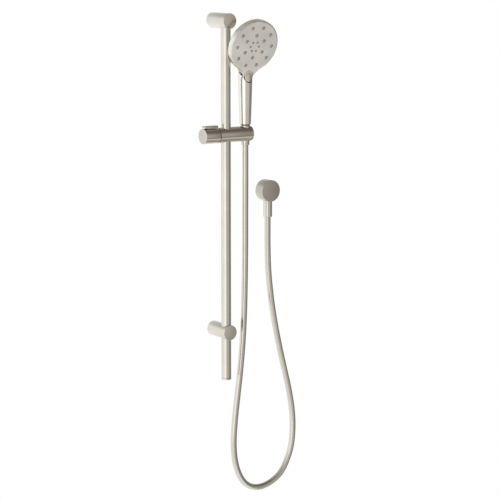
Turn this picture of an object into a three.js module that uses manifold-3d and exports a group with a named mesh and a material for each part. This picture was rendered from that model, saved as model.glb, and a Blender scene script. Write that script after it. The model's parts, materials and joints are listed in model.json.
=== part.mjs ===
// A rail shower set: a handset on a height-adjustable slider, its rail and wall brackets,
// and the smooth hose that joins the handset to a wall elbow.
// Millimetres, +Z up. The wall is the plane y = 0 and the room is on its -Y side.
// The origin is the centre of the upper bracket's wall face.
import * as THREE from 'three';
import { mergeVertices } from 'three/addons/utils/BufferGeometryUtils.js';
import Module from 'manifold-3d';

const wasm = await Module();
wasm.setup();

// ---- driving dimensions ----
const GAP = 0.3; // clearance between neighbouring pieces

const RAIL_R = 11;
const RAIL_WALL = 1.5;
const RAIL_Y = -52; // rail axis, in front of the wall
const RAIL_TOP = 9.5;
const RAIL_BOTTOM = -804.5;
const END_CAP_LIP = 4;

const POST_R = 17;
const POST_LENGTH = 69;
const POST_SPACING = 695;
const POST_POCKET_R = 13.1;
const POST_POCKET_DEPTH = 24;
const LINER_R = RAIL_R + 1.6; // plastic sleeve between the rail and a post or the slider
const RAIL_HOLE_R = LINER_R + GAP;

const SLIDER_Z = -251;
const SLIDER_R = 17;
const SLIDER_LEFT = -61.5;
const SLIDER_SEAM = -23;
const SLIDER_RIGHT = 64.5;
const SOCKET_X = 52;

const NUT_TOP_Z = -232.2;
const NUT_BOTTOM_Z = -276.4;
const NUT_TOP_R = 10.6;
const NUT_BOTTOM_R = 9.2;
const HOSE_R = 7;

const HANDLE_BOTTOM_Z = -230.5;
const HANDLE_BOTTOM_R = 12.8;
const HANDLE_NECK_Z = -137;
const HANDLE_NECK_R = 15.9;

const HEAD_R = 61;
const HEAD_TILT = THREE.MathUtils.degToRad(19.2); // face looks this far below level
const HEAD_CENTRE = new THREE.Vector3(0, -36.5, -57); // from the socket axis
const FACE_THICKNESS = 2.6;
const SHELL_FRONT = -FACE_THICKNESS - GAP; // the face plate lies on the shell here
const PADDLE_LEAVES = THREE.MathUtils.degToRad(-58); // where the round rim turns to the neck
const PADDLE_PULL = [19.5, -60]; // control point of the neck's hollow side
const TIP_R = 10.5;
const TIP_V = -70.4; // centre of the rounded tip, below the head's centre
const NOZZLE_PROUD = 2;
const NOZZLE_RINGS = [
  { radius: 45.5, count: 10, size: 3.9, start: 0 },
  { radius: 26, count: 6, size: 3.9, start: 30 },
  { radius: 11, count: 6, size: 2.4, start: 0 },
];

const ELBOW_X = 140;
const ELBOW_Z = -389.5;
const ELBOW_R = 24.7;
const ELBOW_DEPTH = 28;
const OUTLET_Y = -14;
const OUTLET_NUT_R = 10.4;
const OUTLET_NUT_LENGTH = 34;

// The hose's centre line, from the conical nut down round the loop and up to the elbow.
const HOSE_ROUTE = [
  [52, -52, -276.7], [52, -52, -330], [52.5, -51, -400], [53.5, -49, -514], [53.5, -47, -606],
  [52.5, -45, -676], [50, -43, -734], [45, -41, -796], [38.5, -39, -856], [33.5, -37, -907],
  [31.5, -35, -955], [34.5, -33, -993], [42.5, -32, -1025], [57, -31, -1053], [77, -30, -1071],
  [99, -30, -1078], [123, -29, -1077], [147, -28, -1069], [169, -27, -1054], [187, -26, -1028],
  [200, -25, -995], [206, -23, -952], [204, -22, -907], [196, -20, -858], [184, -19, -809],
  [170, -17, -750], [157, -16, -688], [148, -15, -631], [142, -14, -570], [140, -14, -510],
  [140, -14, -450.8],
];
const HOSE_STEPS = 66;

// ---- materials ----
const finish = (color, roughness, metalness) =>
  () => new THREE.MeshStandardMaterial({ color, roughness, metalness });
const nickel = finish(0xb9b3a6, 0.32, 1);
const polishedNickel = finish(0xc9c4b8, 0.15, 1);
const steel = finish(0x9a9a98, 0.4, 1);
const brass = finish(0xb08d4a, 0.4, 1);
const whitePlastic = finish(0xe4e2dc, 0.5, 0);
const darkPlastic = finish(0x2b2b2d, 0.6, 0);
const silicone = finish(0x8d8894, 0.7, 0);
const rubber = finish(0x1c1c1c, 0.8, 0);

// ---- solids ----
function closed(geometry) {
  const bare = geometry.index ? geometry.toNonIndexed() : geometry.clone();
  bare.deleteAttribute('normal');
  bare.deleteAttribute('uv');
  const merged = mergeVertices(bare, 1e-4);
  const index = merged.index.array;
  const kept = [];
  for (let i = 0; i < index.length; i += 3) {
    const [a, b, c] = [index[i], index[i + 1], index[i + 2]];
    if (a !== b && b !== c && c !== a) kept.push(a, b, c);
  }
  merged.setIndex(kept);
  return volume(merged) < 0 ? flipped(merged) : merged;
}

function volume(geometry) {
  const position = geometry.attributes.position;
  const corner = [new THREE.Vector3(), new THREE.Vector3(), new THREE.Vector3()];
  let total = 0;
  for (let i = 0; i < geometry.index.count; i += 3) {
    corner.forEach((point, k) => point.fromBufferAttribute(position, geometry.index.getX(i + k)));
    total += corner[0].dot(corner[1].cross(corner[2]));
  }
  return total;
}

function flipped(geometry) {
  const index = Array.from(geometry.index.array);
  for (let i = 0; i < index.length; i += 3) {
    [index[i], index[i + 1]] = [index[i + 1], index[i]];
  }
  geometry.setIndex(index);
  return geometry;
}

function toSolid(geometry) {
  const mesh = closed(geometry);
  return new wasm.Manifold(new wasm.Mesh({
    numProp: 3,
    vertProperties: new Float32Array(mesh.attributes.position.array),
    triVerts: new Uint32Array(mesh.index.array),
  }));
}

function fromSolid(solid) {
  const mesh = solid.getMesh();
  const geometry = new THREE.BufferGeometry();
  geometry.setAttribute('position', new THREE.BufferAttribute(mesh.vertProperties, 3));
  geometry.setIndex(Array.from(mesh.triVerts));
  return geometry;
}

function combine(body, joins, cuts) {
  let solid = toSolid(body);
  for (const join of joins) solid = solid.add(toSolid(join));
  for (const cut of cuts) solid = solid.subtract(toSolid(cut));
  return fromSolid(solid);
}

const cutFrom = (body, ...cuts) => combine(body, [], cuts);
const shared = (a, b) => fromSolid(toSolid(a).intersect(toSolid(b)));

// A body of revolution about Z: profile is a list of [radius, z]. It starts and ends on the
// axis, or else closes on itself as a ring.
function turned(profile, segments = 24) {
  const points = profile.map(([radius, z]) => new THREE.Vector2(radius, z));
  const onAxis = profile[0][0] === 0 && profile[profile.length - 1][0] === 0;
  if (!onAxis) points.push(points[0].clone());
  return new THREE.LatheGeometry(points, segments).rotateX(Math.PI / 2);
}

const rod = (radius, low, high, segments = 24) =>
  turned([[0, low], [radius, low], [radius, high], [0, high]], segments);
const ring = (inner, outer, low, high, segments = 24) =>
  turned([[inner, low], [outer, low], [outer, high], [inner, high]], segments);
const box = (low, high) => {
  const size = high.map((value, axis) => value - low[axis]);
  const centre = high.map((value, axis) => (value + low[axis]) / 2);
  return new THREE.BoxGeometry(...size).translate(...centre);
};

// Turns a piece made along +Z so that +Z points out of the wall (-Y), or along +X.
const outOfWall = (geometry) => geometry.rotateX(Math.PI / 2);
const alongX = (geometry) => geometry.rotateY(Math.PI / 2);

function coil(radius, wire, low, high, turns) {
  const points = [];
  const steps = turns * 8;
  for (let i = 0; i <= steps; i += 1) {
    const angle = (i / 8) * 2 * Math.PI;
    const z = low + wire + ((high - low - 2 * wire) * i) / steps;
    points.push(new THREE.Vector3(radius * Math.cos(angle), radius * Math.sin(angle), z));
  }
  return tube(points, wire, steps, 5);
}

function tube(points, radius, steps, sides) {
  const section = new THREE.Shape();
  for (let i = 0; i < sides; i += 1) {
    const angle = (i / sides) * 2 * Math.PI;
    const place = [radius * Math.cos(angle), radius * Math.sin(angle)];
    if (i === 0) section.moveTo(...place);
    else section.lineTo(...place);
  }
  const path = new THREE.CatmullRomCurve3(points, false, 'centripetal');
  return new THREE.ExtrudeGeometry(section, { steps, bevelEnabled: false, extrudePath: path });
}

function piece(name, geometry, material) {
  const mesh = new THREE.Mesh(closed(geometry), material());
  mesh.name = name;
  return mesh;
}

function groupAt(position, ...children) {
  const group = new THREE.Group();
  group.position.set(...position);
  group.add(...children);
  return group;
}

// ---- rail ----
function railTube() {
  return ring(RAIL_R - RAIL_WALL, RAIL_R, RAIL_BOTTOM + END_CAP_LIP + GAP, RAIL_TOP);
}

function railEndCap() {
  const plugR = RAIL_R - RAIL_WALL - GAP;
  const plugTop = RAIL_BOTTOM + 16;
  const lipTop = RAIL_BOTTOM + END_CAP_LIP;
  return turned([
    [0, RAIL_BOTTOM], [RAIL_R - 1, RAIL_BOTTOM], [RAIL_R, RAIL_BOTTOM + 1], [RAIL_R, lipTop],
    [plugR, lipTop], [plugR, plugTop], [0, plugTop],
  ]);
}

function rail() {
  return groupAt([0, RAIL_Y, 0],
    piece('rail_tube', railTube(), nickel),
    piece('rail_end_cap', railEndCap(), nickel));
}

// ---- wall brackets: pieces are turned along +Z, which is then pointed out of the wall ----
const ANCHOR_DEPTH = 15;
const ANCHOR_RECESS = 9;
const GRUB_DEPTH = 7;
const LINER_REACH = 10.5; // above and below the post's axis

function post(holeTop) {
  const chamfer = 1;
  const body = turned([
    [0, 0], [POST_R, 0], [POST_R, POST_LENGTH - chamfer], [POST_R - chamfer, POST_LENGTH],
    [0, POST_LENGTH],
  ]);
  const pocket = rod(POST_POCKET_R, -1, POST_POCKET_DEPTH);
  const screwHole = rod(2.8, POST_POCKET_DEPTH - 1, -RAIL_Y);
  const railHole = rod(RAIL_HOLE_R, -POST_R - 1, holeTop).translate(0, RAIL_Y, 0);
  const grubHole = rod(2.2, -POST_R - 1, -POST_POCKET_R + 1, 16).translate(0, -GRUB_DEPTH, 0);
  return cutFrom(outOfWall(body), outOfWall(pocket), outOfWall(screwHole), railHole, grubHole);
}

function anchorDisc() {
  const back = 0.4;
  return outOfWall(turned([
    [3, back], [POST_POCKET_R - GAP, back], [POST_POCKET_R - GAP, ANCHOR_DEPTH],
    [5.6, ANCHOR_DEPTH], [5.6, ANCHOR_RECESS], [3, ANCHOR_RECESS],
  ]));
}

function wallScrew() {
  const back = 0.4;
  const seat = ANCHOR_RECESS + GAP;
  const top = ANCHOR_DEPTH - GAP;
  return outOfWall(turned([[0, back], [2.6, back], [2.6, seat], [5.2, seat], [5.2, top], [0, top]], 20));
}

function railScrew() {
  const headFront = POST_POCKET_DEPTH - GAP;
  const tip = -RAIL_Y - LINER_R - GAP;
  return outOfWall(turned([
    [0, ANCHOR_DEPTH + GAP], [4.5, ANCHOR_DEPTH + GAP], [4.5, headFront], [2.4, headFront],
    [2.4, tip], [0, tip],
  ], 20));
}

const grubScrew = (radius, low, high) => rod(radius, low, high, 16);

function bracket(prefix, z, holeTop, linerTop) {
  const liner = ring(RAIL_R + GAP, LINER_R, -LINER_REACH, linerTop).translate(0, RAIL_Y, 0);
  const grub = grubScrew(1.9, -POST_R + GAP, -POST_POCKET_R - 0.1).translate(0, -GRUB_DEPTH, 0);
  return groupAt([0, 0, z],
    piece(`${prefix}_bracket_post`, post(holeTop), nickel),
    piece(`${prefix}_wall_anchor`, anchorDisc(), brass),
    piece(`${prefix}_wall_screw`, wallScrew(), steel),
    piece(`${prefix}_rail_screw`, railScrew(), steel),
    piece(`${prefix}_grub_screw`, grub, steel),
    piece(`${prefix}_rail_liner`, liner, darkPlastic));
}

// ---- wall elbow ----
const ELBOW_WALL = 3.2;
const SPIGOT_R = 8.4;
const SPIGOT_END = -44;
const TAIL_FLANGE_R = 8.4;
const TAIL_STEM_R = 5.4;
const TAIL_BORE_R = 3.5;

function elbowCover() {
  const chamfer = 1.2;
  const body = turned([
    [0, 0], [ELBOW_R, 0], [ELBOW_R, ELBOW_DEPTH - chamfer], [ELBOW_R - chamfer, ELBOW_DEPTH],
    [0, ELBOW_DEPTH],
  ]);
  const hollow = rod(ELBOW_R - ELBOW_WALL, -1, ELBOW_DEPTH - ELBOW_WALL);
  const outletHole = rod(SPIGOT_R + GAP, -ELBOW_R - 1, -12).translate(0, OUTLET_Y, 0);
  const grubHole = rod(1.9, -ELBOW_R - 1, -ELBOW_R + ELBOW_WALL + 1, 16).translate(0, -3.2, 0);
  return cutFrom(outOfWall(body), outOfWall(hollow), outletHole, grubHole);
}

function elbowBody() {
  const inletR = 13;
  const inletBore = 9.2;
  const front = ELBOW_DEPTH - ELBOW_WALL - 0.6;
  const body = outOfWall(rod(inletR, 0.5, front));
  const spigot = rod(SPIGOT_R, SPIGOT_END, 0).translate(0, OUTLET_Y, 0);
  const inlet = outOfWall(rod(inletBore, 0, front - 3));
  const outlet = rod(5, SPIGOT_END - 1, 0).translate(0, OUTLET_Y, 0);
  return combine(body, [spigot], [inlet, outlet]);
}

function hoseTail(flangeTop, stemEnd, flangeR) {
  return turned([
    [TAIL_BORE_R, stemEnd], [TAIL_STEM_R, stemEnd], [TAIL_STEM_R, flangeTop - 2.2],
    [flangeR, flangeTop - 2.2], [flangeR, flangeTop], [TAIL_BORE_R, flangeTop],
  ], 20);
}

function outletNut(top, bottom, shoulder) {
  const chamfer = 0.8;
  const boreR = SPIGOT_R + GAP;
  const neckR = TAIL_STEM_R + GAP;
  return turned([
    [boreR, top], [OUTLET_NUT_R - chamfer, top], [OUTLET_NUT_R, top - chamfer],
    [OUTLET_NUT_R, bottom + chamfer], [OUTLET_NUT_R - chamfer, bottom], [neckR, bottom],
    [neckR, shoulder], [boreR, shoulder],
  ]);
}

function elbow() {
  const nutTop = -ELBOW_R - 1.8;
  const nutBottom = nutTop - OUTLET_NUT_LENGTH;
  const washerTop = SPIGOT_END - GAP;
  const flangeTop = washerTop - 1.6 - GAP;
  const shoulder = flangeTop - 2.2 - GAP;
  const outlet = groupAt([0, OUTLET_Y, 0],
    piece('outlet_nut', outletNut(nutTop, nutBottom, shoulder), nickel),
    piece('outlet_check_valve', ring(2, 5 - GAP, -34, -24, 20), whitePlastic),
    piece('outlet_washer', ring(4, SPIGOT_R - 0.2, washerTop - 1.6, washerTop, 20), rubber),
    piece('outlet_hose_tail', hoseTail(flangeTop, nutBottom + 0.2, TAIL_FLANGE_R), brass));
  const grub = grubScrew(1.6, -ELBOW_R + 0.2, -ELBOW_R + ELBOW_WALL).translate(0, -3.2, 0);
  return groupAt([ELBOW_X, 0, ELBOW_Z],
    piece('elbow_cover', elbowCover(), nickel),
    piece('elbow_body', elbowBody(), brass),
    piece('elbow_wall_seal', outOfWall(ring(13.4, 19, 0.3, 1.8)), rubber),
    piece('elbow_grub_screw', grub, steel),
    outlet);
}

// ---- hose ----
function hose() {
  const points = HOSE_ROUTE.map((place) => new THREE.Vector3(...place));
  return piece('hose', tube(points, HOSE_R, HOSE_STEPS, 10), nickel);
}

// ---- slider: pieces are made about the slider's centre, on the rail's axis ----
const CAP_WALL = 3.5;
const STEM_X = [-52, -40];
const STEM_HALF_WIDTH = 4;
const STEM_BOTTOM = 4;
const TAB_BOTTOM = 19;
const TAB_TOP = 22.6;
const SHOE_R = 4.6;
const BUSH_NEAR = 6; // each bush reaches from here to BUSH_FAR, above or below the brake
const BUSH_FAR = 10.6;

function socketRadius(z) {
  const along = (z - NUT_TOP_Z) / (NUT_BOTTOM_Z - NUT_TOP_Z);
  return NUT_TOP_R + along * (NUT_BOTTOM_R - NUT_TOP_R) + 0.35;
}

function sliderBody() {
  const chamfer = 1.6;
  const spigotR = SLIDER_R - CAP_WALL - GAP;
  const body = alongX(turned([
    [0, SLIDER_SEAM - 8], [spigotR, SLIDER_SEAM - 8], [spigotR, SLIDER_SEAM + 0.5],
    [SLIDER_R, SLIDER_SEAM + 0.5], [SLIDER_R, SLIDER_RIGHT - chamfer],
    [SLIDER_R - chamfer, SLIDER_RIGHT], [0, SLIDER_RIGHT],
  ]));
  const reach = SLIDER_R + 1;
  const railHole = rod(RAIL_HOLE_R, -reach, reach);
  const socket = turned([
    [0, -reach], [socketRadius(SLIDER_Z - reach), -reach],
    [socketRadius(SLIDER_Z + reach), reach], [0, reach],
  ]).translate(SOCKET_X, 0, 0);
  const slotHalf = HOSE_R + 0.6;
  const hoseSlot = box([SOCKET_X - slotHalf, 0, -reach], [SOCKET_X + slotHalf, reach, reach]);
  const shoeHole = alongX(rod(SHOE_R + 0.4, SLIDER_SEAM - 9, 0));
  const lockHole = rod(1.8, -reach, -8, 16).translate(SLIDER_SEAM - 4, 0, 0);
  return cutFrom(body, railHole, socket, hoseSlot, shoeHole, lockHole);
}

function sliderCap() {
  const chamfer = 1.2;
  const body = alongX(turned([
    [0, SLIDER_LEFT], [SLIDER_R - chamfer, SLIDER_LEFT], [SLIDER_R, SLIDER_LEFT + chamfer],
    [SLIDER_R, SLIDER_SEAM], [0, SLIDER_SEAM],
  ]));
  const hollow = alongX(rod(SLIDER_R - CAP_WALL, SLIDER_LEFT + CAP_WALL, SLIDER_SEAM + 1));
  const slack = 0.6;
  const stemSlot = box(
    [STEM_X[0] - slack, -STEM_HALF_WIDTH - slack, 8],
    [STEM_X[1] + slack, STEM_HALF_WIDTH + slack, SLIDER_R + 1],
  );
  const lockHole = rod(1.8, -SLIDER_R - 1, -8, 16).translate(SLIDER_SEAM - 4, 0, 0);
  return cutFrom(body, hollow, stemSlot, lockHole);
}

function releaseTab() {
  const halfWidth = 6.5;
  const pad = box([-59.5, -halfWidth, TAB_BOTTOM], [SLIDER_SEAM - 1, halfWidth, TAB_TOP]);
  const stem = box(
    [STEM_X[0], -STEM_HALF_WIDTH, STEM_BOTTOM],
    [STEM_X[1], STEM_HALF_WIDTH, TAB_TOP - 1],
  );
  return combine(pad, [stem], []);
}

function brakeShoe() {
  const back = STEM_X[1] + 2;
  const front = -RAIL_R - 0.4;
  const shoe = alongX(rod(SHOE_R, back, front, 20));
  return cutFrom(shoe, rod(RAIL_R + 0.5, -10, 10));
}

function bush(low, high) {
  return ring(RAIL_R + GAP, LINER_R, low, high);
}

function slider() {
  const springX = (STEM_X[0] + STEM_X[1]) / 2;
  const springLow = -SLIDER_R + CAP_WALL + 1.2;
  const spring = coil(3.2, 0.6, springLow, STEM_BOTTOM - GAP, 5).translate(springX, 0, 0);
  const lock = grubScrew(1.5, -SLIDER_R + GAP, -8.5).translate(SLIDER_SEAM - 4, 0, 0);
  return groupAt([0, RAIL_Y, SLIDER_Z],
    piece('slider_upper_bush', bush(BUSH_NEAR, BUSH_FAR), darkPlastic),
    piece('slider_lower_bush', bush(-BUSH_FAR, -BUSH_NEAR), darkPlastic),
    piece('slider_body', sliderBody(), nickel),
    piece('slider_cap', sliderCap(), nickel),
    piece('slider_cap_screw', lock, steel),
    piece('release_tab', releaseTab(), nickel),
    piece('release_spring', spring, steel),
    piece('brake_shoe', brakeShoe(), rubber));
}

// ---- hose end at the handset: pieces are turned about the socket's axis ----
const INLET_R = 7.8;
const INLET_BOTTOM = -244;
const INLET_TOP = -205;

function conicalNut(shoulder) {
  const chamfer = 0.6;
  const boreR = INLET_R + 0.4;
  const neckR = TAIL_STEM_R + GAP;
  return turned([
    [boreR, NUT_TOP_Z], [NUT_TOP_R - chamfer, NUT_TOP_Z], [NUT_TOP_R, NUT_TOP_Z - chamfer],
    [NUT_BOTTOM_R, NUT_BOTTOM_Z + chamfer], [NUT_BOTTOM_R - chamfer, NUT_BOTTOM_Z],
    [neckR, NUT_BOTTOM_Z], [neckR, shoulder], [boreR, shoulder],
  ]);
}

function hoseEnd() {
  const washerTop = INLET_BOTTOM - GAP;
  const flangeTop = washerTop - 1.6 - GAP;
  const shoulder = flangeTop - 2.2 - GAP;
  return groupAt([SOCKET_X, RAIL_Y, 0],
    piece('conical_nut', conicalNut(shoulder), nickel),
    piece('inlet_washer', ring(4, INLET_R - 0.2, washerTop - 1.6, washerTop, 20), rubber),
    piece('swivel_hose_tail', hoseTail(flangeTop, NUT_BOTTOM_Z + 0.2, INLET_R), brass));
}

// ---- handset. The head's own frame has +Z out of the face and +Y up the face ----
const headMatrix = new THREE.Matrix4()
  .makeRotationX(Math.PI / 2 + HEAD_TILT)
  .setPosition(HEAD_CENTRE);
const onHead = (geometry) => geometry.applyMatrix4(headMatrix);
const HEAD_SEGMENTS = 40;
const CAVITY_R = 54;
const CAVITY_FLOOR = -10;
const NECK_DEPTH = 11;
const SEAT_SLACK = 0.5; // round the face plate and the button
const PRISM_FRONT = 12; // the handle stands out of the face's plane by less than this
const BUTTON_R = 10.5;
const BUTTON_TOP_V = -67.3;
const BUTTON_DEPTH = 4;
const BUTTON_WELL = 8.4;
const SPOOL_R = 3.6;
const SPOOL_V = -69;
const PASSAGE_R = 3;

function extruded(shape, depth, front, curveSegments) {
  const options = { depth, bevelEnabled: false, curveSegments };
  return new THREE.ExtrudeGeometry(shape, options).translate(0, 0, front - depth);
}

// The outline of the face: a disc whose sides run hollow down to a rounded tip.
function paddle(inset, depth, front) {
  const radius = HEAD_R - inset;
  const tipR = TIP_R - inset;
  const tipTurn = THREE.MathUtils.degToRad(-34);
  const pull = [PADDLE_PULL[0] - inset, PADDLE_PULL[1] + inset / 2];
  const tipSide = [tipR * Math.cos(tipTurn), TIP_V + tipR * Math.sin(tipTurn)];
  const rimSide = [radius * Math.cos(PADDLE_LEAVES), radius * Math.sin(PADDLE_LEAVES)];
  const shape = new THREE.Shape();
  shape.absarc(0, 0, radius, PADDLE_LEAVES, Math.PI - PADDLE_LEAVES, false);
  shape.quadraticCurveTo(-pull[0], pull[1], -tipSide[0], tipSide[1]);
  shape.absarc(0, TIP_V, tipR, Math.PI - tipTurn, 2 * Math.PI + tipTurn, false);
  shape.quadraticCurveTo(...pull, ...rimSide);
  return extruded(shape, depth, front, 12);
}

// The button fills the paddle's tip, below an arch.
function buttonBlock(grow, depth, front) {
  const radius = BUTTON_R + grow;
  const shape = new THREE.Shape();
  shape.absarc(0, BUTTON_TOP_V, radius, 0, Math.PI, false);
  shape.lineTo(-radius, TIP_V - 2 * TIP_R);
  shape.lineTo(radius, TIP_V - 2 * TIP_R);
  return shared(extruded(shape, depth, front, 8), paddle(-grow, depth, front));
}

function drilled(start, end) {
  const axis = end.clone().sub(start);
  const turn = new THREE.Quaternion().setFromUnitVectors(
    new THREE.Vector3(0, 0, 1), axis.clone().normalize());
  return rod(PASSAGE_R, 0, axis.length(), 16).applyQuaternion(turn).translate(...start.toArray());
}

// The water's way from the handle, behind the button and up into the head's cavity.
function passages() {
  const fromHandle = new THREE.Vector3(0, -94, -10.6);
  const behindButton = new THREE.Vector3(0, -72, -16.5);
  const inCavity = new THREE.Vector3(0, -42, -9.5);
  return [drilled(fromHandle, behindButton), drilled(behindButton, inCavity)].map(onHead);
}

function handle() {
  const top = -98;
  return turned([
    [0, HANDLE_BOTTOM_Z], [HANDLE_BOTTOM_R - 1, HANDLE_BOTTOM_Z],
    [HANDLE_BOTTOM_R, HANDLE_BOTTOM_Z + 1], [HANDLE_NECK_R, HANDLE_NECK_Z],
    [HANDLE_NECK_R, top - 14], [11, top - 4], [0, top],
  ]);
}

// The front of the handset: the face's flat paddle and the handle that stands out of it below.
const frontBody = () => combine(onHead(paddle(0, NECK_DEPTH, 0)), [handle()], []);

function handsetShell() {
  const drum = onHead(turned([
    [0, -17], [50, -16.2], [56.8, -15.4], [59.8, -13.5], [HEAD_R, -10.5], [HEAD_R, SHELL_FRONT],
    [0, SHELL_FRONT],
  ], HEAD_SEGMENTS));
  const neck = onHead(paddle(0, NECK_DEPTH, SHELL_FRONT));
  const seat = onHead(paddle(-SEAT_SLACK, PRISM_FRONT - SHELL_FRONT, PRISM_FRONT));
  const cavity = onHead(rod(CAVITY_R, CAVITY_FLOOR, 1));
  const buttonWell = onHead(buttonBlock(SEAT_SLACK, BUTTON_WELL + 1, 1));
  const spoolHole = onHead(rod(SPOOL_R + 0.4, -24.5, 0, 16).translate(0, SPOOL_V, 0));
  const inletBore = rod(INLET_R + 0.6, HANDLE_BOTTOM_Z - 1, INLET_TOP + 1);
  const handleBore = rod(11, INLET_TOP, -141);
  const screwHoles = screwPlaces().map(([x, y]) => onHead(rod(1.7, -12.8, 0, 8).translate(x, y, 0)));
  return combine(drum, [neck, handle()],
    [seat, cavity, buttonWell, spoolHole, inletBore, handleBore, ...passages(), ...screwHoles]);
}

function nozzlePlaces() {
  return NOZZLE_RINGS.flatMap(({ radius, count, size, start }) =>
    Array.from({ length: count }, (_, i) => {
      const angle = THREE.MathUtils.degToRad(start + (360 * i) / count);
      return { x: radius * Math.cos(angle), y: radius * Math.sin(angle), size };
    }));
}

function screwPlaces() {
  const radius = 36;
  return [90, 210, 330].map((degrees) => {
    const angle = THREE.MathUtils.degToRad(degrees);
    return [radius * Math.cos(angle), radius * Math.sin(angle)];
  });
}

function facePlate() {
  const outline = onHead(paddle(0, PRISM_FRONT + FACE_THICKNESS, PRISM_FRONT));
  const holes = nozzlePlaces().map(({ x, y, size }) =>
    onHead(rod(size + 2 * GAP, -FACE_THICKNESS - 1, 1, 10).translate(x, y, 0)));
  const buttonHole = onHead(buttonBlock(SEAT_SLACK, PRISM_FRONT + 10, PRISM_FRONT));
  return cutFrom(shared(frontBody(), outline), buttonHole, ...holes);
}

function nozzleMat() {
  const sheet = rod(CAVITY_R - 1, -4.6, SHELL_FRONT);
  const tips = nozzlePlaces().map(({ x, y, size }) =>
    rod(size, -4, NOZZLE_PROUD, 10).translate(x, y, 0));
  return combine(sheet, tips, []);
}

function distributor() {
  const plate = rod(CAVITY_R - 1, -8.6, -6.4);
  const ports = [];
  for (let i = 0; i < 8; i += 1) {
    const angle = (i / 8) * 2 * Math.PI;
    ports.push(rod(2.5, -10, 0, 8).translate(20 * Math.cos(angle), 20 * Math.sin(angle), 0));
  }
  const screwHoles = screwPlaces().map(([x, y]) => rod(1.7, -10, 0, 8).translate(x, y, 0));
  return cutFrom(plate, ...ports, ...screwHoles);
}

function headScrew([x, y]) {
  return turned([
    [0, -12.4], [1.3, -12.4], [1.3, -6.1], [2.8, -6.1], [2.8, -5], [0, -5],
  ], 10).translate(x, y, 0);
}

function modeButton() {
  const socket = onHead(rod(SPOOL_R + GAP, -10, -2.6, 16).translate(0, SPOOL_V, 0));
  const block = onHead(buttonBlock(0, PRISM_FRONT + BUTTON_DEPTH, PRISM_FRONT));
  return cutFrom(shared(frontBody(), block), socket);
}

function diverterSpool() {
  const waist = 2;
  return turned([
    [0, -22], [SPOOL_R, -22], [SPOOL_R, -19.5], [waist, -19.5], [waist, -12.5], [SPOOL_R, -12.5],
    [SPOOL_R, -10], [waist, -10], [waist, -2.9], [0, -2.9],
  ], 16).translate(0, SPOOL_V, 0);
}

function handset() {
  const head = new THREE.Group();
  head.position.copy(HEAD_CENTRE);
  head.rotation.x = Math.PI / 2 + HEAD_TILT;
  const seal = ring(47, 52, -9.7, -8.9);
  const spring = coil(4.9, 0.5, GAP - BUTTON_WELL, -BUTTON_DEPTH - GAP, 2).translate(0, SPOOL_V, 0);
  head.add(
    piece('nozzle_mat', nozzleMat(), silicone),
    piece('distributor_plate', distributor(), whitePlastic),
    piece('head_seal', seal, rubber),
    ...screwPlaces().map((place, i) => piece(`head_screw_${i + 1}`, headScrew(place), steel)),
    piece('diverter_spool', diverterSpool(), whitePlastic),
    piece('button_spring', spring, steel));
  return groupAt([SOCKET_X, RAIL_Y, 0],
    piece('handset_shell', handsetShell(), nickel),
    piece('face_plate', facePlate(), nickel),
    piece('mode_button', modeButton(), polishedNickel),
    piece('inlet_nipple', ring(4.5, INLET_R, INLET_BOTTOM, INLET_TOP, 20), brass),
    piece('inlet_filter', rod(4.2, -243, -241.5, 16), steel),
    piece('flow_limiter', ring(1.4, 4.2, -236, -230, 16), whitePlastic),
    piece('water_tube', ring(5.2, 7, INLET_TOP + GAP, -142, 20), whitePlastic),
    head);
}

// ---- the whole set ----
const set = new THREE.Group();
set.add(
  rail(),
  bracket('upper', 0, RAIL_TOP + 0.5, RAIL_TOP),
  bracket('lower', -POST_SPACING, POST_R + 1, LINER_REACH),
  elbow(),
  hose(),
  slider(),
  hoseEnd(),
  handset(),
);

export default set;
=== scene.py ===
"""Looks for the rail shower set: smooth metal shells, the hose and a pale studio.

Everything is in metres in the CAD frame: +Z up, the wall at y = 0, the room on -Y.
"""
import json
import math

import bmesh
import bpy
from mathutils import Matrix, Vector


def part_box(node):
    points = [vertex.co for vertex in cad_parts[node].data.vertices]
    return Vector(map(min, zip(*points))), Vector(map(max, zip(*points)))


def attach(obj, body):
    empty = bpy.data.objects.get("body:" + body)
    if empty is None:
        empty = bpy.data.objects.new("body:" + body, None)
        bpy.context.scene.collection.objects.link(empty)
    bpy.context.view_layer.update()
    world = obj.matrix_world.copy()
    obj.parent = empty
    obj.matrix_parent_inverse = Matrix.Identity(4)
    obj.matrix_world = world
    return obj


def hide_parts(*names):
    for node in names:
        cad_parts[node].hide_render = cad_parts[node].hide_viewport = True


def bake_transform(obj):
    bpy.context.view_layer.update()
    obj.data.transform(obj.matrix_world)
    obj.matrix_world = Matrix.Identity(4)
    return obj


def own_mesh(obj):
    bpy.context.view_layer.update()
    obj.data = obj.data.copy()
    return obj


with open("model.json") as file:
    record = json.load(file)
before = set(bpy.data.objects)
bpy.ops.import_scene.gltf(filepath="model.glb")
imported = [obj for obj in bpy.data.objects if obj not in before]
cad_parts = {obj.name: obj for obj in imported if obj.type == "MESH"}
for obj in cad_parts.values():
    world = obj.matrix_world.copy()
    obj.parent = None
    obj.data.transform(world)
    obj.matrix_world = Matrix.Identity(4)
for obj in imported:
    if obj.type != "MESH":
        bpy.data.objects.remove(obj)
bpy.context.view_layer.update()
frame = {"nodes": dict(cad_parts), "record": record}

MM = 0.001

# ---- camera ----
CAMERA_AZIMUTH = math.radians(-34.66)
CAMERA_PITCH = math.radians(9.39)
CAMERA_TARGET = Vector((0.0682, -0.0471, -0.516))
CAMERA_DISTANCE = 4.4505
CAMERA_LENS = 142.1

# ---- places and sizes, in metres ----
FLOOR_Z = -1.56  # clear of the hose's loop when the slider is at its lowest
EDGE_ROUND = 0.0009  # the rounding of most metal edges
PAST = 0.02  # how far a cut runs past the middle of a post or the slider, to leave it open

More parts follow.
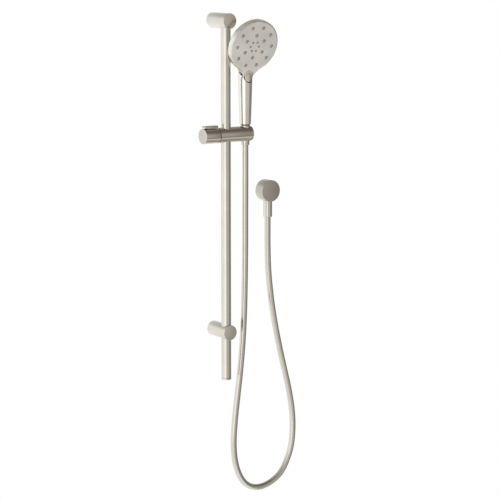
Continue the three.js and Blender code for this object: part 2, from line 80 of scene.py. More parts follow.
RAIL_R = 0.011
RAIL_WALL = 0.0015
RAIL_Y = -0.052
RAIL_AXIS = Vector((0, RAIL_Y, 0))
RAIL_GAP = 0.00025  # round the rail, in the holes that it passes through
LINER_R = 0.0129
LINER_REACH = 0.0109  # the wide part of a rail hole, each side of a post's axis
CAP_LIP = 0.004
POST_R = 0.017
POST_POCKET_R = 0.0131
POST_POCKET_DEPTH = 0.024
POST_BLIND_TOP = 0.010  # where the upper post's rail hole ends, above the post's axis

ELBOW_WALL = 0.0032
OUTLET_GAP = 0.0004  # round the outlet nut, in the elbow's cover
OUTLET_TOP = 0.012  # where the nut's hole ends, below the cover's axis
NUT_COLLAR = 0.0026  # how far the outlet nut's rim stands up inside the elbow's cover
NUT_BORE_R = 0.0087
NUT_BORE_DEPTH = 0.023
TAIL_HOLE_R = 0.0057  # the hole for the hose tail through the end of either hose nut

SLIDER_Z = -0.251
SLIDER_CENTRE = Vector((0, RAIL_Y, SLIDER_Z))
SLIDER_R = 0.017
SLIDER_SEAM_X = -0.0219  # where the cap meets the body
SPIGOT_R = 0.0132  # the body's end inside the cap
SLIDER_GROOVE_DEPTH = 0.0016
SLIDER_GROOVE_FROM_END = (0.0042, 0.0027)
CAP_WALL = 0.0035
TAB_BOTTOM = SLIDER_Z + 0.0165
TAB_ROUND = 0.0012
TAB_ROOM = 0.0019  # between the release tab's hollow underside and the cap
STEM_X = (-0.052, -0.040)  # the release tab's stem goes down through a slot in the cap
STEM_HALF = 0.004
STEM_GAP = 0.0006
SOCKET_AXIS = Vector((0.052, RAIL_Y, 0))
SOCKET_GAP = 0.00035
HOSE_SLOT_HALF = 0.0076

HOSE_R = 0.007
NUT_TOP = Vector((0.052, RAIL_Y, -0.2322))
NUT_BOTTOM = Vector((0.052, RAIL_Y, -0.2764))
NUT_TOP_R = 0.0106
NUT_BOTTOM_R = 0.0092
NUT_TOP_BORE_R = 0.0082
NUT_SHOULDER = -0.2496
HANDLE_BOTTOM = -0.2295
HANDLE_BOTTOM_R = 0.0128
HANDLE_TOP_R = 0.0159
HANDLE_BORE_R = 0.0084
# the black ring below is painted shadow in the gap under the handle, made of the bushes' black
# acetal
HANDLE_GAP_SHADOW_R = 0.0102
HANDLE_GAP_SHADOW_BORE_R = 0.0086

HEAD_R = 0.061
HEAD_TILT = math.radians(19.2)
HEAD_CENTRE = Vector((0.052, -0.0885, -0.057))
HEAD = Matrix.Translation(HEAD_CENTRE) @ Matrix.Rotation(math.pi / 2 + HEAD_TILT, 4, "X")
PADDLE_LEAVES = 58  # degrees below level, where the round rim turns to the neck
PADDLE_PULL = (0.0195, -0.060)
TIP_R = 0.0105
TIP_V = -0.0704
TIP_TURN = 34
SEAT_SLACK = 0.0005
PLATE_CHAMFER = 0.0007
CAVITY_R = 0.054
# depths behind the face's plane
NECK_BACK = -0.0139
SIDE_GROOVE = -0.0110
CAVITY_BACK = -0.010
BUTTON_WELL = -0.0084
NECK_GROOVE = -0.0060
SHELL_FRONT = -0.0029
PLATE_BACK = -0.0026
BUTTON_R = 0.0105
BUTTON_TOP_V = -0.0673
BUTTON_SEAM = 0.0009
SPOOL_V = -0.069
RIDGE_LOW = (0, -0.062, -0.0165)  # the ends of the ridge from the handle up the head's back
RIDGE_HIGH = (0, -0.018, -0.0100)
PRISM_FRONT = 0.012  # the handle stands out of the face's plane by less than this
SKIN_VOXEL = 0.0012
NECK_HEART = (0, -0.052, -0.018)  # the skin is softened round this point
NECK_SOFT_R = 0.028
NECK_FADE = 0.020
NOZZLE_PROUD = 0.002
NOZZLE_FOOT = -0.0028
NOZZLE_GAP = 0.0003
# each ring of nozzles: its radius, how many, the radius of a tip, and the angle of the first
NOZZLE_RINGS = [(0.0455, 10, 0.0039, 0), (0.026, 6, 0.0039, 30), (0.011, 6, 0.0024, 0)]

SPRING_WIRE = 0.0005
COIL_STEPS = 16  # points in one turn of a spring

HOSE_STEP = 0.004
HANDSET_END = -0.44  # where the hose's first length ends
TURN_END = -0.60  # listed for the hose's left length, but not used

# the hose's centre line from the handset's nut to the elbow's nut, in millimetres
HOSE_ROUTE = [
    (52, -52, -276.7), (52, -52, -330), (52.5, -51, -400), (53.5, -49, -514), (53.5, -47, -606),
    (52.5, -45, -676), (50, -43, -734), (45, -41, -796), (38.5, -39, -856), (33.5, -37, -907),
    (31.5, -35, -955), (34.5, -33, -993), (42.5, -32, -1025), (57, -31, -1053), (77, -30, -1071),
    (99, -30, -1078), (123, -29, -1077), (147, -28, -1069), (169, -27, -1054), (187, -26, -1028),
    (200, -25, -995), (206, -23, -952), (204, -22, -907), (196, -20, -858), (184, -19, -809),
    (170, -17, -750), (157, -16, -688), (148, -15, -631), (142, -14, -570), (140, -14, -510),
    (140, -14, -450.8),
]


# ---- camera, light and floor ----
def add_camera():
    away = Vector((
        math.sin(CAMERA_AZIMUTH) * math.cos(CAMERA_PITCH),
        -math.cos(CAMERA_AZIMUTH) * math.cos(CAMERA_PITCH),
        math.sin(CAMERA_PITCH),
    ))
    data = bpy.data.cameras.new("camera")
    data.sensor_width = 36
    data.lens = CAMERA_LENS
    data.clip_end = 400
    camera = bpy.data.objects.new("camera", data)
    camera.location = CAMERA_TARGET + away * CAMERA_DISTANCE
    camera.rotation_euler = (-away).to_track_quat("-Z", "Y").to_euler()
    bpy.context.collection.objects.link(camera)
    bpy.context.scene.camera = camera


WARM_WHITE = (1.15, 1.14, 1.12)
# Tones round the studio: degrees to the camera's right, and a colour.
LEVEL_TONES = [
    (-180, (0.75, 0.74, 0.72)), (-131, (1.0, 1.0, 0.99)), (-90, (1.13, 1.13, 1.12)),
    (-61, (1.05, 1.05, 1.04)), (-35, (1.3, 1.3, 1.29)), (-3, (1.4, 1.4, 1.39)),
    (3, (0.66, 0.645, 0.60)), (35, (0.60, 0.575, 0.52)), (61, (0.61, 0.585, 0.55)),
    (76, (0.40, 0.375, 0.34)), (90, (0.25, 0.23, 0.20)), (131, (0.30, 0.28, 0.25)),
    (158, (0.5, 0.48, 0.46)), (180, (0.75, 0.74, 0.72)),
]
LOW_TONES = [
    (-180, WARM_WHITE), (-60, WARM_WHITE), (0, (0.9, 0.88, 0.84)), (50, (0.86, 0.84, 0.80)),
    (100, (0.78, 0.76, 0.72)), (140, (0.6, 0.58, 0.54)), (180, WARM_WHITE),
]
EDGE_TONES = [
    (-180, WARM_WHITE), (-60, WARM_WHITE), (30, (0.7, 0.68, 0.64)),
    (55, (0.34, 0.325, 0.30)), (125, (0.34, 0.325, 0.30)), (180, WARM_WHITE),
]
FLOOR_TONES = [
    (-180, WARM_WHITE), (-60, (1.1, 1.09, 1.07)), (40, (0.45, 0.43, 0.40)),
    (120, (0.38, 0.36, 0.33)), (150, (0.9, 0.88, 0.84)), (180, WARM_WHITE),
]
HIGH_TONES = [
    (-180, (0.40, 0.39, 0.37)), (-90, (0.55, 0.54, 0.52)), (0, (0.45, 0.44, 0.42)),
    (60, (0.20, 0.19, 0.17)), (140, (0.18, 0.17, 0.15)), (180, (0.40, 0.39, 0.37)),
]
# Each layer lies over the ones before it, and comes in over a range of heights.
LAYERS = [
    (EDGE_TONES, (-0.24, -0.38)), (LOW_TONES, (-0.48, -0.56)),
    (FLOOR_TONES, (-0.70, -0.80)), (HIGH_TONES, (0.2, 0.8)),
]


def add_world():
    """A studio seen in the metal: white on the left and behind, warm grey cards on the right.

    The camera itself sees plain white.
    """
    world = bpy.data.worlds.new("studio")
    bpy.context.scene.world = world
    bpy.context.scene.view_settings.view_transform = "Standard"
    world.use_nodes = True
    nodes, links = world.node_tree.nodes, world.node_tree.links
    nodes.clear()
    output = nodes.new("ShaderNodeOutputWorld")
    seen = nodes.new("ShaderNodeBackground")
    seen.inputs["Color"].default_value = (1, 1, 1, 1)
    studio = nodes.new("ShaderNodeBackground")
    direction = nodes.new("ShaderNodeTexCoord")
    turn = nodes.new("ShaderNodeMapping")
    turn.vector_type = "VECTOR"
    # the middle of each ramp is the camera's side, its first half the camera's left
    turn.inputs["Rotation"].default_value = (0, 0, math.radians(90) - CAMERA_AZIMUTH)
    around = nodes.new("ShaderNodeTexGradient")
    around.gradient_type = "RADIAL"
    up = nodes.new("ShaderNodeSeparateXYZ")
    links.new(direction.outputs["Generated"], turn.inputs["Vector"])
    links.new(turn.outputs["Vector"], around.inputs["Vector"])
    links.new(direction.outputs["Generated"], up.inputs["Vector"])
    level = studio_ramp(nodes, links, around, LEVEL_TONES)
    for tones, reach in LAYERS:
        ramp = studio_ramp(nodes, links, around, tones)
        level = studio_layer(nodes, links, up, level, ramp, reach)
    links.new(level, studio.inputs["Color"])
    chooser = nodes.new("ShaderNodeMixShader")
    rays = nodes.new("ShaderNodeLightPath")
    links.new(rays.outputs["Is Camera Ray"], chooser.inputs["Fac"])
    links.new(studio.outputs["Background"], chooser.inputs[1])
    links.new(seen.outputs["Background"], chooser.inputs[2])
    links.new(chooser.outputs["Shader"], output.inputs["Surface"])


def studio_ramp(nodes, links, around, tones):
    ramp = nodes.new("ShaderNodeValToRGB")
    fill_ramp(ramp, [((degrees + 180) / 360, tone) for degrees, tone in tones])
    links.new(around.outputs["Fac"], ramp.inputs["Fac"])
    return ramp.outputs["Color"]


def studio_layer(nodes, links, up, below, above, reach):
    """Blends one band of tones into another over a range of heights."""
    height = nodes.new("ShaderNodeMapRange")
    height.interpolation_type = "SMOOTHSTEP"
    height.inputs["From Min"].default_value, height.inputs["From Max"].default_value = reach
    mix = nodes.new("ShaderNodeMix")
    mix.data_type = "RGBA"
    links.new(up.outputs["Z"], height.inputs["Value"])
    links.new(height.outputs["Result"], mix.inputs["Factor"])
    links.new(below, mix.inputs["A"])
    links.new(above, mix.inputs["B"])
    return mix.outputs["Result"]


def fill_ramp(ramp, stops):
    elements = ramp.color_ramp.elements
    while len(elements) > 1:
        elements.remove(elements[-1])
    elements[0].position, elements[0].color = stops[0][0], (*stops[0][1], 1)
    for position, colour in stops[1:]:
        elements.new(position).color = (*colour, 1)


def add_floor():
    """A pale floor, lit enough to be as white as the background."""
    floor = add_plane("floor", (-1.3, -0.8), (0.36, 1.6), FLOOR_Z)
    material = new_material("floor_paint")
    shader = material.node_tree.nodes["Principled BSDF"]
    shader.inputs["Base Color"].default_value = (0.93, 0.93, 0.93, 1)
    shader.inputs["Roughness"].default_value = 0.9
    shader.inputs["Emission Color"].default_value = (1, 1, 1, 1)
    shader.inputs["Emission Strength"].default_value = 0.6
    floor.data.materials.append(material)


def add_plane(name, low, high, height):
    mesh = bpy.data.meshes.new(name)
    corners = [(low[0], low[1]), (high[0], low[1]), (high[0], high[1]), (low[0], high[1])]
    mesh.from_pydata([(x, y, height) for x, y in corners], [], [(0, 1, 2, 3)])
    plane = bpy.data.objects.new(name, mesh)
    bpy.context.collection.objects.link(plane)
    return plane


# ---- materials ----
BRUSH_SCALE = 1200
BRUSH_DEPTH = 0.00004
SKIN_SCALE = 900
SKIN_DEPTH = 0.00005
SKIN_GRAIN = 0.15
METAL_DRIFT_SCALE = 25
PLASTIC_DRIFT_SCALE = 40
EVEN = (1, 1, 1)  # noise that isn't drawn out along any axis
NOISE_LOW, NOISE_HIGH = 0.3, 0.7  # most of a noise's values lie between these


def new_material(name):
    material = bpy.data.materials.new(name)
    material.use_nodes = True
    return material


def stretched_noise(tree, scale, stretch, detail=3.0):
    """Noise in object coordinates, drawn out along the axes whose stretch is small."""
    nodes, links = tree.nodes, tree.links
    place = nodes.new("ShaderNodeTexCoord")
    mapping = nodes.new("ShaderNodeMapping")
    mapping.inputs["Scale"].default_value = stretch
    noise = nodes.new("ShaderNodeTexNoise")
    noise.inputs["Scale"].default_value = scale
    noise.inputs["Detail"].default_value = detail
    links.new(place.outputs["Object"], mapping.inputs["Vector"])
    links.new(mapping.outputs["Vector"], noise.inputs["Vector"])
    return noise.outputs["Fac"]


def map_value(tree, value, low, high):
    node = tree.nodes.new("ShaderNodeMapRange")
    node.inputs["From Min"].default_value = NOISE_LOW
    node.inputs["From Max"].default_value = NOISE_HIGH
    node.inputs["To Min"].default_value = low
    node.inputs["To Max"].default_value = high
    tree.links.new(value, node.inputs["Value"])
    return node.outputs["Result"]


def tint(tree, value, dark, light):
    ramp = tree.nodes.new("ShaderNodeValToRGB")
    fill_ramp(ramp, [(NOISE_LOW, dark), (NOISE_HIGH, light)])
    tree.links.new(value, ramp.inputs["Fac"])
    return ramp.outputs["Color"]


def add_bump(tree, value, strength, distance):
    bump = tree.nodes.new("ShaderNodeBump")
    bump.inputs["Strength"].default_value = strength
    bump.inputs["Distance"].default_value = distance
    tree.links.new(value, bump.inputs["Height"])
    tree.links.new(bump.outputs["Normal"], tree.nodes["Principled BSDF"].inputs["Normal"])


def brushed_metal(name, dark, light, roughness, stretch, grain=0.10):
    """Satin plated metal: fine brush lines in roughness and bump, and a faint drift of tone."""
    material = new_material(name)
    tree = material.node_tree
    shader = tree.nodes["Principled BSDF"]
    shader.inputs["Metallic"].default_value = 1.0
    lines = stretched_noise(tree, BRUSH_SCALE, stretch)
    drift = stretched_noise(tree, METAL_DRIFT_SCALE, EVEN, 2.0)
    tree.links.new(tint(tree, drift, dark, light), shader.inputs["Base Color"])
    tree.links.new(map_value(tree, lines, *roughness), shader.inputs["Roughness"])
    add_bump(tree, lines, grain, BRUSH_DEPTH)
    return material


def moulded(name, dark, light, roughness):
    """Moulded plastic or rubber with a fine skin texture."""
    material = new_material(name)
    tree = material.node_tree
    shader = tree.nodes["Principled BSDF"]
    skin = stretched_noise(tree, SKIN_SCALE, EVEN)
    drift = stretched_noise(tree, PLASTIC_DRIFT_SCALE, EVEN, 2.0)
    tree.links.new(tint(tree, drift, dark, light), shader.inputs["Base Color"])
    tree.links.new(map_value(tree, skin, *roughness), shader.inputs["Roughness"])
    add_bump(tree, skin, SKIN_GRAIN, SKIN_DEPTH)
    return material


NICKEL_DARK = (0.66, 0.63, 0.575)
NICKEL_LIGHT = (0.72, 0.69, 0.635)
nickel_along_x = brushed_metal(
    "nickel_x", NICKEL_DARK, NICKEL_LIGHT, (0.13, 0.19), (0.05, 1, 1), 0.03)
# a darker copy of the rail's nickel: painted shade on the slider, its cap and its release tab
nickel_slider_painted_shade = brushed_metal(
    "nickel_slider_painted_shade", (0.56, 0.53, 0.48), (0.61, 0.58, 0.53), (0.13, 0.19), (0.05, 1, 1), 0.03)
nickel_along_z = brushed_metal(
    "nickel_z", NICKEL_DARK, NICKEL_LIGHT, (0.11, 0.16), (1, 1, 0.01), 0.05)
# a darker copy of the rail's nickel: painted shade on the elbow's cover
nickel_elbow_painted_shade = brushed_metal(
    "nickel_elbow_painted_shade", (0.50, 0.47, 0.425), (0.55, 0.52, 0.47), (0.12, 0.18), (1, 0.05, 1), 0.05)
nickel_handle = brushed_metal(
    "nickel_handle", (0.78, 0.76, 0.72), (0.83, 0.81, 0.77), (0.10, 0.14), (1, 1, 0.01), 0.02)
nickel_face = brushed_metal(
    "nickel_face", (0.72, 0.70, 0.66), (0.84, 0.82, 0.78), (0.22, 0.25), (0.25, 1, 1), 0.03)
hose_skin = brushed_metal(
    "hose_skin", (0.64, 0.615, 0.565), (0.67, 0.645, 0.59), (0.16, 0.18), (1, 1, 0.05), 0.0)
brass = brushed_metal("brass", (0.62, 0.47, 0.22), (0.70, 0.54, 0.27), (0.28, 0.4), EVEN)
steel = brushed_metal("steel", (0.52, 0.52, 0.51), (0.60, 0.60, 0.59), (0.25, 0.38), EVEN)
black_acetal = moulded("black_acetal", (0.02, 0.02, 0.022), (0.035, 0.035, 0.04), (0.45, 0.6))
white_acetal = moulded("white_acetal", (0.76, 0.75, 0.71), (0.82, 0.81, 0.77), (0.4, 0.55))
nozzle_rubber = moulded("nozzle_rubber", (0.34, 0.33, 0.38), (0.42, 0.41, 0.46), (0.4, 0.5))
black_rubber = moulded("black_rubber", (0.012, 0.012, 0.012), (0.025, 0.025, 0.025), (0.6, 0.75))

SLOT_MATERIALS = {
    "brushed_nickel": nickel_along_x,
    "plated_shell": nickel_face,
    "hose_jacket": hose_skin,
    "brass_core": brass,
    "screw_steel": steel,
    "dark_bush": black_acetal,
    "white_plastic": white_acetal,
    "nozzle_silicone": nozzle_rubber,
    "seal_rubber": black_rubber,
}


def finish_frame_nodes():
    """Every CAD node gets its slot's material, for those that no piece replaces."""
    for part in frame["record"]["subparts"]:
        node = frame["nodes"][part["node"]]
        node.data.materials.clear()
        node.data.materials.append(SLOT_MATERIALS[part["material_slot"]])


# ---- mesh tools ----
def add_piece(name, mesh, material, body, nodes=()):
    piece = bpy.data.objects.new(name, mesh)
    bpy.context.collection.objects.link(piece)
    mesh.materials.clear()
    mesh.materials.append(material)
    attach(piece, body)
    if nodes:
        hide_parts(*nodes)
    return piece


def smooth(mesh, sharp_degrees=32):
    """Smooth shading, but for the edges that turn by more than this."""
    for polygon in mesh.polygons:
        polygon.use_smooth = True
    mesh.set_sharp_from_angle(angle=math.radians(sharp_degrees))
    return mesh


def rounded(profile, radius, steps=4):
    """A profile of (r, z) points with each inner corner turned into a small arc."""
    points = [Vector(point) for point in profile]
    result = [points[0]]
    for before, corner, after in zip(points, points[1:], points[2:]):
        reach = min(radius, (before - corner).length * 0.45, (after - corner).length * 0.45)
        start = corner + (before - corner).normalized() * reach
        end = corner + (after - corner).normalized() * reach
        for i in range(steps + 1):
            t = i / steps
            result.append(start * (1 - t) ** 2 + corner * 2 * t * (1 - t) + end * t ** 2)
    result.append(points[-1])
    return result


def turned(profile, segments=96, ring=False):
    """A closed body of revolution about Z. A ring's profile closes on itself.

    A point on the axis is one vertex, so a face there has three corners.
    """
    mesh = bpy.data.meshes.new("turned")
    bm = bmesh.new()
    rows = []
    for radius, z in profile:
        if radius < 1e-7:
            rows.append([bm.verts.new((0, 0, z))])
            continue
        row = []
        for i in range(segments):
            angle = 2 * math.pi * i / segments
            row.append(bm.verts.new((radius * math.cos(angle), radius * math.sin(angle), z)))
        rows.append(row)
    pairs = list(zip(rows, rows[1:]))
    if ring:
        pairs.append((rows[-1], rows[0]))
    for low, high in pairs:
        for i in range(segments):
            j = (i + 1) % segments
            below = [low[i % len(low)], low[j % len(low)]]
            above = [high[j % len(high)], high[i % len(high)]]
            unique = list(dict.fromkeys(below + above))
            if len(unique) > 2:
                bm.faces.new(unique)
    bmesh.ops.recalc_face_normals(bm, faces=bm.faces)
    bm.to_mesh(mesh)
    bm.free()
    return mesh


def moved(mesh, matrix):
    mesh.transform(matrix)
    return mesh


OUT_OF_WALL = Matrix.Rotation(math.pi / 2, 4, "X")
ALONG_X = Matrix.Rotation(math.pi / 2, 4, "Y")


def at(place, turn=None):
    """The matrix that turns a mesh about the origin and then takes it to its place."""
    return Matrix.Translation(place) @ (turn or Matrix.Identity(4))


def cylinder(radius, low, high, segments=96):
    return turned([(0, low), (radius, low), (radius, high), (0, high)], segments)


def block(low, high):
    mesh = bpy.data.meshes.new("block")
    bm = bmesh.new()
    bmesh.ops.create_cube(bm, size=1)
    for vert in bm.verts:
        for axis in range(3):
            vert.co[axis] = low[axis] if vert.co[axis] < 0 else high[axis]
    bm.to_mesh(mesh)
    bm.free()
    return mesh


def carve(mesh, *cutters, operation="DIFFERENCE"):
    """The mesh with each cutter's volume taken away, or joined on."""
    body = bpy.data.objects.new("carve_body", mesh)
    bpy.context.collection.objects.link(body)
    helpers = []
    for cutter in cutters:
        helper = bpy.data.objects.new("carve_cutter", cutter)
        bpy.context.collection.objects.link(helper)
        helpers.append(helper)
        cut = body.modifiers.new("cut", "BOOLEAN")
        cut.operation = operation
        cut.solver = "EXACT"
        cut.object = helper
    return baked(body, helpers)


def baked(body, helpers=()):
    """The body's mesh with its modifiers applied; the body and its helpers are removed."""
    bpy.context.view_layer.update()
    depsgraph = bpy.context.evaluated_depsgraph_get()
    result = bpy.data.meshes.new_from_object(body.evaluated_get(depsgraph))
    for used in (body, *helpers):
        bpy.data.objects.remove(used)
    return result


def bevelled(mesh, width):
    body = bpy.data.objects.new("bevel_body", mesh)
    bpy.context.collection.objects.link(body)
    bevel = body.modifiers.new("bevel", "BEVEL")
    bevel.width = width
    bevel.segments = 3
    bevel.limit_method = "ANGLE"
    bevel.angle_limit = math.radians(30)
    return baked(body)


def outline_solid(outline, low, high):
    """An outline of (x, y) points drawn out from z = low to z = high."""
    return stacked([(outline, low), (outline, high)])


def stacked(layers):
    """A closed body through outlines of equal length, each at its own height."""
    mesh = bpy.data.meshes.new("outline")
    bm = bmesh.new()
    rows = [[bm.verts.new((x, y, z)) for x, y in outline] for outline, z in layers]
    bm.faces.new(rows[0])
    bm.faces.new(rows[-1])
    for low, high in zip(rows, rows[1:]):
        for i in range(len(low)):
            j = (i + 1) % len(low)
            bm.faces.new((low[i], low[j], high[j], high[i]))
    bmesh.ops.recalc_face_normals(bm, faces=bm.faces)
    bm.to_mesh(mesh)
    bm.free()
    return mesh


# ---- rail, wall posts and elbow ----
def add_rail():
    """The rail's tube, and the plug in its lower end."""
    low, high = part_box("rail_tube")
    bore = RAIL_R - RAIL_WALL
    chamfer = 0.0002
    profile = [(bore, low.z), (RAIL_R - chamfer, low.z), (RAIL_R, low.z + chamfer),
               (RAIL_R, high.z), (bore, high.z)]
    mesh = smooth(moved(turned(profile, ring=True), at(RAIL_AXIS)))
    add_piece("rail_tube_smooth", mesh, nickel_along_z, "wall_set", ["rail_tube"])
    low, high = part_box("rail_end_cap")
    lip = low.z + CAP_LIP
    plug_r = bore - 0.0003
    cap = rounded([(0, low.z), (RAIL_R, low.z), (RAIL_R, lip), (plug_r, lip), (plug_r, high.z),
                   (0, high.z)], 0.0008)
    mesh = smooth(moved(turned(cap), at(RAIL_AXIS)))
    add_piece("rail_end_cap_smooth", mesh, nickel_along_x, "wall_set",
              ["rail_end_cap"])


def add_post(prefix, through):
    """A round post on the wall. The rail runs through the lower one and ends in the upper."""
    node = f"{prefix}_bracket_post"
    low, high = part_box(node)
    centre_z = (low.z + high.z) / 2
    length = high.y - low.y
    profile = rounded([(0, length), (POST_R, length), (POST_R, 0), (POST_POCKET_R, 0),
                       (POST_POCKET_R, POST_POCKET_DEPTH), (0, POST_POCKET_DEPTH)], EDGE_ROUND)
    body = moved(turned(profile, 128), at((0, 0, centre_z), OUT_OF_WALL))
    hole_top = PAST if through else POST_BLIND_TOP
    bore_top = LINER_REACH if through else POST_BLIND_TOP
    hole = moved(cylinder(RAIL_R + RAIL_GAP, -PAST, hole_top), at((0, RAIL_Y, centre_z)))
    bore = moved(cylinder(LINER_R, -LINER_REACH, bore_top), at((0, RAIL_Y, centre_z)))
    mesh = smooth(carve(body, hole, bore))
    add_piece(f"{node}_smooth", mesh, nickel_along_x, "wall_set", [node])


def add_elbow():
    """The elbow's round cover, and the hose nut that rises into a hole in its underside."""
    low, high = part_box("elbow_cover")
    nut_low, nut_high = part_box("outlet_nut")
    nut_r = (nut_high.x - nut_low.x) / 2
    nut_axis = Vector(((nut_low.x + nut_high.x) / 2, (nut_low.y + nut_high.y) / 2, 0))
    centre = Vector(((low.x + high.x) / 2, 0, (low.z + high.z) / 2))
    radius = (high.x - low.x) / 2
    depth = high.y - low.y
    inner, ceiling = radius - ELBOW_WALL, depth - ELBOW_WALL
    profile = rounded([(0, depth), (radius, depth), (radius, 0), (inner, 0), (inner, ceiling),
                       (0, ceiling)], EDGE_ROUND)
    body = moved(turned(profile, 128), at(centre, OUT_OF_WALL))
    outlet = moved(cylinder(nut_r + OUTLET_GAP, low.z - 0.01, centre.z - OUTLET_TOP),
                   at(nut_axis))
    mesh = smooth(carve(body, outlet))
    add_piece("elbow_cover_smooth", mesh, nickel_elbow_painted_shade, "wall_set",
              ["elbow_cover"])
    shoulder = nut_high.z - NUT_BORE_DEPTH
    top = low.z + NUT_COLLAR
    profile = rounded([
        (TAIL_HOLE_R, nut_low.z), (nut_r, nut_low.z), (nut_r, top), (NUT_BORE_R, top),
        (NUT_BORE_R, shoulder), (TAIL_HOLE_R, shoulder),
    ], EDGE_ROUND)
    mesh = smooth(moved(turned(profile, ring=True), at(nut_axis)))
    add_piece("outlet_nut_smooth", mesh, nickel_along_z, "wall_set",
              ["outlet_nut"])


# ---- slider ----
def add_slider_body():
    """The holder: a round bar with the rail's hole, the nut's socket and the hose's slot."""
    low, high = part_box("slider_body")
    groove_start, groove_end = (high.x - reach for reach in SLIDER_GROOVE_FROM_END)
    groove_r = SLIDER_R - SLIDER_GROOVE_DEPTH
    slant = 0.0003
    profile = rounded([
        (0, low.x), (SPIGOT_R, low.x), (SPIGOT_R, SLIDER_SEAM_X), (SLIDER_R, SLIDER_SEAM_X),
        (SLIDER_R, groove_start), (groove_r, groove_start + slant),
        (groove_r, groove_end - slant), (SLIDER_R, groove_end),
        (SLIDER_R, high.x), (0, high.x),
    ], 0.0004)
    body = moved(turned(profile, 128), at(SLIDER_CENTRE, ALONG_X))
    hole = moved(cylinder(RAIL_R + RAIL_GAP, -PAST, PAST), at(SLIDER_CENTRE))
    bore = moved(cylinder(LINER_R, -LINER_REACH, LINER_REACH), at(SLIDER_CENTRE))
    socket = moved(turned(socket_profile()), at(SOCKET_AXIS))
    slot = moved(block((-HOSE_SLOT_HALF, 0, -PAST), (HOSE_SLOT_HALF, PAST, PAST)),
                 at((SOCKET_AXIS.x, RAIL_Y, SLIDER_Z)))
    mesh = smooth(carve(body, hole, bore, socket, slot))
    add_piece("slider_body_smooth", mesh, nickel_slider_painted_shade, "slider",
              ["slider_body"])


def socket_profile():
    """The holder's tapered socket, a little wider than the nut that rests in it."""
    top, bottom = SLIDER_Z + PAST, SLIDER_Z - PAST
    slope = (NUT_TOP_R - NUT_BOTTOM_R) / (NUT_TOP.z - NUT_BOTTOM.z)

    def radius(z):
        return NUT_BOTTOM_R + (z - NUT_BOTTOM.z) * slope + SOCKET_GAP

    return [(0, bottom), (radius(bottom), bottom), (radius(top), top), (0, top)]


def add_slider_cap():
    """The cup over the body's left end, with a slot for the release tab's stem."""
    low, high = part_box("slider_cap")
    edge = high.x - 0.0003
    inner, end = SLIDER_R - CAP_WALL, low.x + CAP_WALL
    profile = rounded([
        (0, low.x), (SLIDER_R, low.x), (SLIDER_R, edge), (inner, edge), (inner, end), (0, end),
    ], EDGE_ROUND)
    body = moved(turned(profile, 128), at(SLIDER_CENTRE, ALONG_X))
    half = STEM_HALF + STEM_GAP
    slot = moved(block((STEM_X[0] - STEM_GAP, -half, 0.008), (STEM_X[1] + STEM_GAP, half, 0.018)),
                 at(SLIDER_CENTRE))
    mesh = smooth(carve(body, slot))
    add_piece("slider_cap_smooth", mesh, nickel_slider_painted_shade, "slider",
              ["slider_cap"])


def add_release_tab():
    """A pad that is hollow underneath to clear the cap, on a stem."""
    low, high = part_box("release_tab")
    pad = bevelled(block((low.x, low.y, TAB_BOTTOM), high), TAB_ROUND)
    room = moved(cylinder(SLIDER_R + TAB_ROOM, -0.08, 0), at(SLIDER_CENTRE, ALONG_X))
    pad = carve(pad, room)
    stem = block((STEM_X[0], RAIL_Y - STEM_HALF, low.z),
                 (STEM_X[1], RAIL_Y + STEM_HALF, high.z - 0.001))
    mesh = smooth(carve(pad, stem, operation="UNION"))
    add_piece("release_tab_smooth", mesh, nickel_slider_painted_shade, "release",
              ["release_tab"])


def add_conical_nut():
    profile = rounded([
        (NUT_TOP_BORE_R, NUT_TOP.z), (NUT_TOP_R, NUT_TOP.z), (NUT_BOTTOM_R, NUT_BOTTOM.z),
        (TAIL_HOLE_R, NUT_BOTTOM.z), (TAIL_HOLE_R, NUT_SHOULDER),
        (NUT_TOP_BORE_R, NUT_SHOULDER),
    ], 0.0007)
    mesh = smooth(moved(turned(profile, ring=True), at(SOCKET_AXIS)))
    add_piece("conical_nut_smooth", mesh, nickel_along_z, "hose_end",
              ["conical_nut"])


# ---- handset ----
def arc(centre, radius, start, end, steps):
    """Points on an arc, angles in degrees, the end left out."""
    points = []
    for i in range(steps):
        angle = math.radians(start + (end - start) * i / steps)
        points.append((centre[0] + radius * math.cos(angle), centre[1] + radius * math.sin(angle)))
    return points


def bend(start, control, end, steps):
    """Points on a quadratic curve, the end left out."""
    points = []
    for i in range(steps):
        t = i / steps
        points.append(tuple(
            start[k] * (1 - t) ** 2 + control[k] * 2 * t * (1 - t) + end[k] * t ** 2
            for k in range(2)))
    return points


def polar(radius, degrees, centre_v=0.0):
    angle = math.radians(degrees)
    return radius * math.cos(angle), centre_v + radius * math.sin(angle)


def paddle(inset):
    """The face's outline: a disc whose sides run hollow down to a rounded tip."""
    radius = HEAD_R - inset
    tip_r = TIP_R - inset
    pull = (PADDLE_PULL[0] - inset, PADDLE_PULL[1] + inset / 2)
    rim = polar(radius, -PADDLE_LEAVES)
    tip = polar(tip_r, -TIP_TURN, TIP_V)
    return [
        *arc((0, 0), radius, -PADDLE_LEAVES, 180 + PADDLE_LEAVES, 140),
        *bend((-rim[0], rim[1]), (-pull[0], pull[1]), (-tip[0], tip[1]), 24),
        *arc((0, TIP_V), tip_r, 180 + TIP_TURN, 360 - TIP_TURN, 20),
        *bend(tip, pull, rim, 24),
    ]


def neck_part(grow, top, bottom=-1.0):
    """The part of the paddle's outline between two heights, as its own outline."""
    return [point for point in paddle(-grow) if bottom < point[1] < top]


def button_outline(grow=0.0):
    """The paddle's tip below an arch."""
    radius = BUTTON_R + grow
    tip = [point for point in neck_part(grow, BUTTON_TOP_V) if abs(point[0]) <= radius]
    return [*arc((0, BUTTON_TOP_V), radius, 0, 181, 32), *tip]


def prism(outline, low, high=PRISM_FRONT):
    """An outline drawn out square to the face, between two depths from its plane."""
    return moved(outline_solid(outline, low, high), HEAD)


